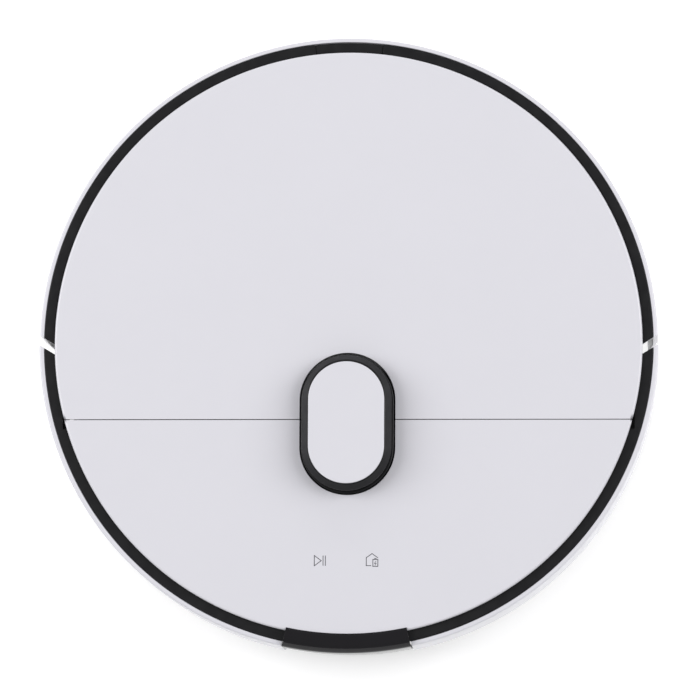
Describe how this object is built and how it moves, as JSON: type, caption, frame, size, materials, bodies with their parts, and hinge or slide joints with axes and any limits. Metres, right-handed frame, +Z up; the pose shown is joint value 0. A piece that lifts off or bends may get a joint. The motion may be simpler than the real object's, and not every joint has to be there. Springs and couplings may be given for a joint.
{
  "type": "robot vacuum",
  "caption": "Round white robot vacuum with a laser turret, black trim ring, flip lid over the dust bin, sprung front bumper, drive wheels, caster and brushes.",
  "frame": {"origin": "on the floor under the middle of the round body", "axes": "+Z up, -Y is the front with the bumper, +X is to the right seen from above with the front towards the viewer"},
  "size_m": [0.3498, 0.3498, 0.096],
  "materials": {
    "shell_white": "satin moulded, faintly cool white",
    "trim_black": "fine satin black",
    "window_black": "smoked infrared window, polished",
    "frame_grey": "fine spark texture",
    "tray_grey": "satin light grey",
    "bin_smoke": "smoked dust-bin plastic",
    "tyre_rubber": "dull moulded rubber",
    "steel": "plain drawn or turned steel",
    "brush_orange": "coloured brush polymer",
    "filter_paper": "pleated filter paper",
    "board_green": "circuit board lacquer",
    "battery_wrap": "heat-shrink film"
  },
  "bodies": {
    "body": {"chassis": "frame_grey", "brush_housing": "frame_grey", "cliff_window_left": "window_black", "cliff_window_right": "window_black", "charge_contact_left": "steel", "charge_contact_right": "steel", "rear_shell": "shell_white", "exhaust_grille": "trim_black", "rear_ring": "trim_black", "rear_tab": "trim_black", "front_cover": "shell_white", "deck": "tray_grey", "lid_bracket_left": "frame_grey", "lid_bracket_right": "frame_grey", "lidar_skirt": "trim_black", "turret_cap": "trim_black", "turret_plate": "shell_white", "lidar_frame": "frame_grey", "lidar_motor": "steel", "lidar_belt": "tyre_rubber", "brush_motor": "frame_grey", "brush_cover": "frame_grey", "side_brush_motor": "frame_grey", "bin_body": "bin_smoke", "bin_lid": "bin_smoke", "bin_handle": "tray_grey", "filter": "filter_paper", "fan_housing": "frame_grey", "fan_motor": "steel", "battery": "battery_wrap", "main_board": "board_green", "speaker": "frame_grey", "touch_board": "board_green", "bump_switch_left": "trim_black", "bump_switch_right": "trim_black", "wheel_spring_left": "steel", "wheel_spring_right": "steel"},
    "lid": {"lid": "shell_white", "lid_pin_left": "steel", "lid_pin_right": "steel"},
    "bumper": {"bumper_shell": "shell_white", "bumper_ring": "trim_black", "front_window": "window_black"},
    "left_lever": {"bump_lever_left": "tray_grey"},
    "right_lever": {"bump_lever_right": "tray_grey"},
    "laser_head": {"lidar_rotor": "trim_black"},
    "laser_pulley": {"lidar_pulley": "tray_grey"},
    "left_arm": {"wheel_arm_left": "frame_grey", "wheel_motor_left": "steel"},
    "left_wheel": {"wheel_hub_left": "tray_grey", "wheel_tyre_left": "tyre_rubber"},
    "right_arm": {"wheel_arm_right": "frame_grey", "wheel_motor_right": "steel"},
    "right_wheel": {"wheel_hub_right": "tray_grey", "wheel_tyre_right": "tyre_rubber"},
    "caster_swivel": {"caster_fork": "frame_grey"},
    "caster_roller": {"caster_wheel": "tyre_rubber"},
    "main_brush": {"brush_roller": "brush_orange"},
    "edge_brush": {"side_brush": "brush_orange"},
    "impeller": {"fan_impeller": "tray_grey"}
  },
  "joints": [
    {"name": "lid_hinge", "type": "hinge", "parent": "body", "child": "lid", "pos_m": [0, -0.0392, 0.0786], "axis": [1, 0, 0], "range_deg": [0, 78]},
    {"name": "bumper_slide", "type": "slide", "parent": "body", "child": "bumper", "axis": [0, 1, 0], "range_m": [0, 0.004], "stiffness_N_per_m": 600, "springref_m": -0.002},
    {"name": "left_lever_turn", "type": "hinge", "parent": "body", "child": "left_lever", "pos_m": [-0.056, -0.138, 0.061], "axis": [0, 0, -1], "range_deg": [0, 12.7]},
    {"name": "right_lever_turn", "type": "hinge", "parent": "body", "child": "right_lever", "pos_m": [0.056, -0.138, 0.061], "axis": [0, 0, 1], "range_deg": [0, 12.7]},
    {"name": "laser_spin", "type": "hinge", "parent": "body", "child": "laser_head", "pos_m": [0, -0.0593, 0.075], "axis": [0, 0, 1], "continuous": true},
    {"name": "laser_pulley_spin", "type": "hinge", "parent": "body", "child": "laser_pulley", "pos_m": [0, -0.0333, 0.065], "axis": [0, 0, 1], "continuous": true},
    {"name": "left_suspension", "type": "hinge", "parent": "body", "child": "left_arm", "pos_m": [-0.097, -0.04, 0.042], "axis": [-1, 0, 0], "range_deg": [0, 15], "stiffness_Nm_per_rad": 0.25, "springref_deg": 34.38},
    {"name": "left_wheel_spin", "type": "hinge", "parent": "left_arm", "child": "left_wheel", "pos_m": [-0.1175, 0.012, 0.035], "axis": [1, 0, 0], "continuous": true},
    {"name": "right_suspension", "type": "hinge", "parent": "body", "child": "right_arm", "pos_m": [0.097, -0.04, 0.042], "axis": [-1, 0, 0], "range_deg": [0, 15], "stiffness_Nm_per_rad": 0.25, "springref_deg": 34.38},
    {"name": "right_wheel_spin", "type": "hinge", "parent": "right_arm", "child": "right_wheel", "pos_m": [0.1175, 0.012, 0.035], "axis": [1, 0, 0], "continuous": true},
    {"name": "caster_turn", "type": "hinge", "parent": "body", "child": "caster_swivel", "pos_m": [0, -0.127, 0.03], "axis": [0, 0, 1], "continuous": true},
    {"name": "caster_roll", "type": "hinge", "parent": "caster_swivel", "child": "caster_roller", "pos_m": [0, -0.121, 0.013], "axis": [1, 0, 0], "continuous": true},
    {"name": "main_brush_spin", "type": "hinge", "parent": "body", "child": "main_brush", "pos_m": [0, -0.018, 0.0205], "axis": [1, 0, 0], "continuous": true},
    {"name": "edge_brush_spin", "type": "hinge", "parent": "body", "child": "edge_brush", "pos_m": [-0.1, -0.092, 0.008], "axis": [0, 0, 1], "continuous": true},
    {"name": "fan_spin", "type": "hinge", "parent": "body", "child": "impeller", "pos_m": [0.075, 0.084, 0.0455], "axis": [1, 0, 0], "continuous": true}
  ],
  "couplings": [
    {"joint": "left_lever_turn", "follows": "bumper_slide", "rad_per_m": 55},
    {"joint": "right_lever_turn", "follows": "bumper_slide", "rad_per_m": 55},
    {"joint": "laser_pulley_spin", "follows": "laser_spin", "ratio": 4.8}
  ]
}
